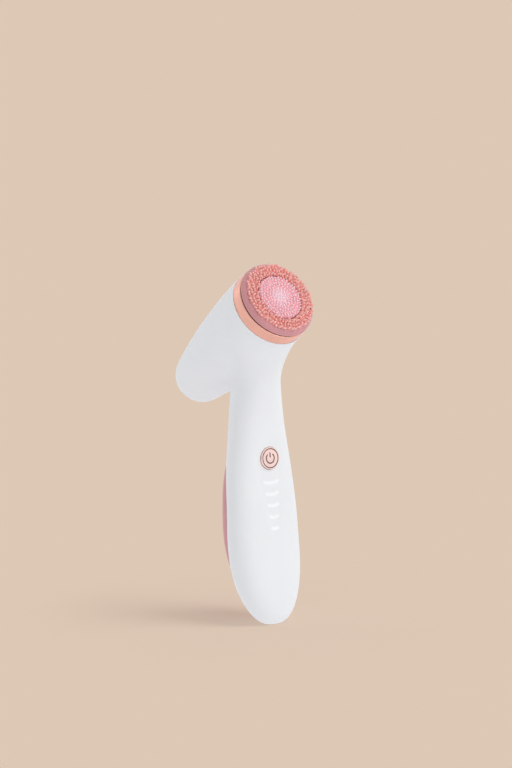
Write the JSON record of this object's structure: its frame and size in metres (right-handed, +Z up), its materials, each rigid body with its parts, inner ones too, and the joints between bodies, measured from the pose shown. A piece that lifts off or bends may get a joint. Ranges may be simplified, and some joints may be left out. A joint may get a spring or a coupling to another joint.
{
  "type": "facial cleansing brush",
  "caption": "Cordless facial cleansing brush: slim handle flowing into a slanted barrel head with a lift-off nubbed brush ring, a spinning centre disc, a push button and curved light bars.",
  "frame": {"origin": "on the flat foot under the handle, on the object's plane of symmetry", "axes": "+Z up along the handle, -Y towards the front that carries the button and faces the brush, X across the handle"},
  "size_m": [0.0426, 0.0903, 0.1821],
  "materials": {
    "white_shell": "gloss white moulding",
    "blush_grip": "soft-touch dusty pink",
    "rose_gold": "polished rose gold",
    "mauve_silicone": "matt silicone",
    "coral_silicone": "matt silicone",
    "pink_silicone": "satin silicone",
    "opal_lens": "opal translucent",
    "grey_plastic": "matt",
    "black_plastic": "matt",
    "black_rubber": "matt",
    "steel": "machined",
    "brass": "machined",
    "copper": "bare winding",
    "board": "solder mask green",
    "acetal": "natural acetal",
    "ferrite": "sintered dark",
    "cell_sleeve": "blue sleeve over a metal can",
    "red_wire": "insulated lead"
  },
  "bodies": {
    "handle": {"main_housing": "white_shell", "rear_grip_cover": "blush_grip", "rear_cover_seal": "black_rubber", "button_seal": "black_rubber", "tact_switch": "black_plastic", "light_pipe": "opal_lens", "led_1": "opal_lens", "led_2": "opal_lens", "led_3": "opal_lens", "led_4": "opal_lens", "led_5": "opal_lens", "circuit_board": "board", "wire_socket": "acetal", "battery_cell": "cell_sleeve", "battery_cradle": "grey_plastic", "cradle_screw_1": "steel", "cradle_screw_2": "steel", "cradle_screw_3": "steel", "cradle_screw_4": "steel", "charging_coil": "copper", "ferrite_plate": "ferrite", "motor_can": "steel", "motor_bush": "brass", "motor_end_bell": "black_plastic", "motor_magnet_1": "ferrite", "motor_magnet_2": "ferrite", "motor_terminal_1": "brass", "motor_terminal_2": "brass", "motor_cushion": "black_rubber", "motor_plate": "steel", "ring_gear": "acetal", "gearbox_cover": "grey_plastic", "gearbox_screw_1": "steel", "gearbox_screw_2": "steel", "gearbox_screw_3": "steel", "output_bearing": "steel", "front_bulkhead": "grey_plastic", "nose_bearing": "steel", "shaft_seal": "black_rubber", "head_trim_ring": "rose_gold", "motor_lead_1": "red_wire", "motor_lead_2": "black_plastic"},
    "button": {"power_button": "rose_gold"},
    "plunger": {"switch_plunger": "black_plastic"},
    "brush_head": {"outer_brush_ring": "mauve_silicone", "outer_bristle_pad": "coral_silicone"},
    "spinning_disc": {"inner_brush_disc": "pink_silicone", "inner_bristle_pad": "pink_silicone", "disc_retaining_ring": "steel"},
    "rotor": {"motor_shaft": "steel", "armature": "steel", "commutator": "copper", "sun_gear": "brass"},
    "carrier": {"planet_carrier": "steel", "output_shaft": "steel"},
    "planet_1": {"planet_gear_1": "acetal"},
    "planet_2": {"planet_gear_2": "acetal"},
    "planet_3": {"planet_gear_3": "acetal"}
  },
  "joints": [
    {"name": "button_press", "type": "slide", "parent": "handle", "child": "button", "axis": [0, 0.9934, -0.1149], "range_m": [0, 0.0004], "stiffness_N_per_m": 900, "springref_m": -0.0005},
    {"name": "plunger_press", "type": "slide", "parent": "handle", "child": "plunger", "axis": [0, 0.9934, -0.1149], "range_m": [0, 0.0004]},
    {"name": "brush_lift_off", "type": "slide", "parent": "handle", "child": "brush_head", "axis": [0, -0.8141, 0.5807], "range_m": [0, 0.02]},
    {"name": "disc_spin", "type": "hinge", "parent": "brush_head", "child": "spinning_disc", "pos_m": [0, -0.00321, 0.16555], "axis": [0, -0.8141, 0.5807], "continuous": true},
    {"name": "rotor_spin", "type": "hinge", "parent": "handle", "child": "rotor", "pos_m": [0, 0.03017, 0.14174], "axis": [0, -0.8141, 0.5807], "continuous": true},
    {"name": "carrier_spin", "type": "hinge", "parent": "handle", "child": "carrier", "pos_m": [0, 0.00981, 0.15625], "axis": [0, -0.8141, 0.5807], "continuous": true},
    {"name": "planet_1_spin", "type": "hinge", "parent": "carrier", "child": "planet_1", "pos_m": [0.0081, 0.01323, 0.15382], "axis": [0, -0.8141, 0.5807], "continuous": true},
    {"name": "planet_2_spin", "type": "hinge", "parent": "carrier", "child": "planet_2", "pos_m": [-0.00405, 0.01731, 0.15953], "axis": [0, -0.8141, 0.5807], "continuous": true},
    {"name": "planet_3_spin", "type": "hinge", "parent": "carrier", "child": "planet_3", "pos_m": [-0.00405, 0.00916, 0.1481], "axis": [0, -0.8141, 0.5807], "continuous": true}
  ],
  "couplings": [
    {"joint": "plunger_press", "follows": "button_press", "ratio": 1},
    {"joint": "carrier_spin", "follows": "rotor_spin", "ratio": 0.25},
    {"joint": "disc_spin", "follows": "rotor_spin", "ratio": 0.25},
    {"joint": "planet_1_spin", "follows": "rotor_spin", "ratio": -0.75},
    {"joint": "planet_2_spin", "follows": "rotor_spin", "ratio": -0.75},
    {"joint": "planet_3_spin", "follows": "rotor_spin", "ratio": -0.75}
  ]
}
